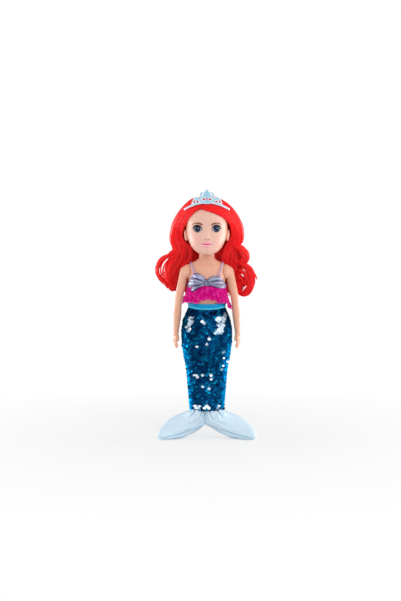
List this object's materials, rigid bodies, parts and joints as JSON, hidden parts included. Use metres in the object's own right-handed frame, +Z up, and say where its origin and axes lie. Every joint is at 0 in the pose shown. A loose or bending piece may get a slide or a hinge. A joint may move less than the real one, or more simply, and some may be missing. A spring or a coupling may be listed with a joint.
{
  "type": "mermaid doll",
  "caption": "Jointed mermaid play doll with turning head, swinging arms, bending sequin tail, stuffed fins, long wavy hair and a lift-off tiara",
  "frame": {"origin": "middle of the doll's box, on the floor that the two fins stand on", "axes": "+Z up; the doll faces -Y, so +X is its own left side and +Y is behind it"},
  "size_m": [0.1279, 0.0702, 0.314],
  "materials": {
    "skin_vinyl": "soft satin vinyl, peach",
    "plug_plastic": "plain moulded, off-white",
    "eye_acrylic": "polished, dark blue-green iris",
    "hair_fibre": "glossy red synthetic fibre, waved",
    "tiara_plastic": "gloss, ice blue",
    "pink_stone": "faceted, pink",
    "lilac_lame": "metallic woven cloth, grey-lilac",
    "lilac_organza": "sheer, lilac",
    "closure_tape": "hook-and-loop tape, pale",
    "pink_tulle": "glitter net, hot pink",
    "turquoise_band": "satin, turquoise",
    "sequin_cloth": "two-way sequins, deep blue with silver backs",
    "ice_satin": "satin, pale ice blue, stuffed"
  },
  "bodies": {
    "torso": {"torso_front": "skin_vinyl", "torso_back": "skin_vinyl", "neck_plug": "plug_plastic", "bandeau": "lilac_lame", "bandeau_knot": "lilac_lame", "left_strap": "lilac_organza", "right_strap": "lilac_organza", "top_closure": "closure_tape", "frill": "pink_tulle", "waistband": "turquoise_band"},
    "head": {"head_shell": "skin_vinyl", "left_eye": "eye_acrylic", "right_eye": "eye_acrylic", "hair_cap": "hair_fibre", "hair_fringe": "hair_fibre", "hair_left_lock": "hair_fibre", "hair_right_lock": "hair_fibre", "hair_back": "hair_fibre"},
    "tiara": {"tiara": "tiara_plastic", "tiara_stone": "pink_stone"},
    "left_arm": {"left_arm": "skin_vinyl"},
    "right_arm": {"right_arm": "skin_vinyl"},
    "left_leg": {"left_leg": "skin_vinyl"},
    "right_leg": {"right_leg": "skin_vinyl"},
    "tail": {"tail_sleeve": "sequin_cloth", "left_fin": "ice_satin", "right_fin": "ice_satin"}
  },
  "joints": [
    {"name": "head_turn", "type": "hinge", "parent": "torso", "child": "head", "pos_m": [0, -0.003, 0.238], "axis": [0, 0, 1], "range_deg": [-45, 45], "deforming": ["hair_left_lock", "hair_right_lock", "hair_back"]},
    {"name": "left_shoulder", "type": "hinge", "parent": "torso", "child": "left_arm", "pos_m": [0, -0.003, 0.211], "axis": [-1, 0, 0], "range_deg": [-10, 120]},
    {"name": "right_shoulder", "type": "hinge", "parent": "torso", "child": "right_arm", "pos_m": [0, -0.003, 0.211], "axis": [-1, 0, 0], "range_deg": [-10, 120]},
    {"name": "tail_bend", "type": "hinge", "parent": "torso", "child": "tail", "pos_m": [0, -0.003, 0.138], "axis": [-1, 0, 0], "range_deg": [-15, 90], "deforming": ["tail_sleeve"]},
    {"name": "left_hip", "type": "hinge", "parent": "torso", "child": "left_leg", "pos_m": [0, -0.003, 0.138], "axis": [-1, 0, 0], "range_deg": [-15, 90]},
    {"name": "right_hip", "type": "hinge", "parent": "torso", "child": "right_leg", "pos_m": [0, -0.003, 0.138], "axis": [-1, 0, 0], "range_deg": [-15, 90]},
    {"name": "tiara_lift", "type": "slide", "parent": "head", "child": "tiara", "axis": [0, -0.5, 0.866], "range_m": [0, 0.04]}
  ],
  "couplings": [
    {"joint": "left_hip", "follows": "tail_bend", "ratio": 1},
    {"joint": "right_hip", "follows": "tail_bend", "ratio": 1}
  ]
}
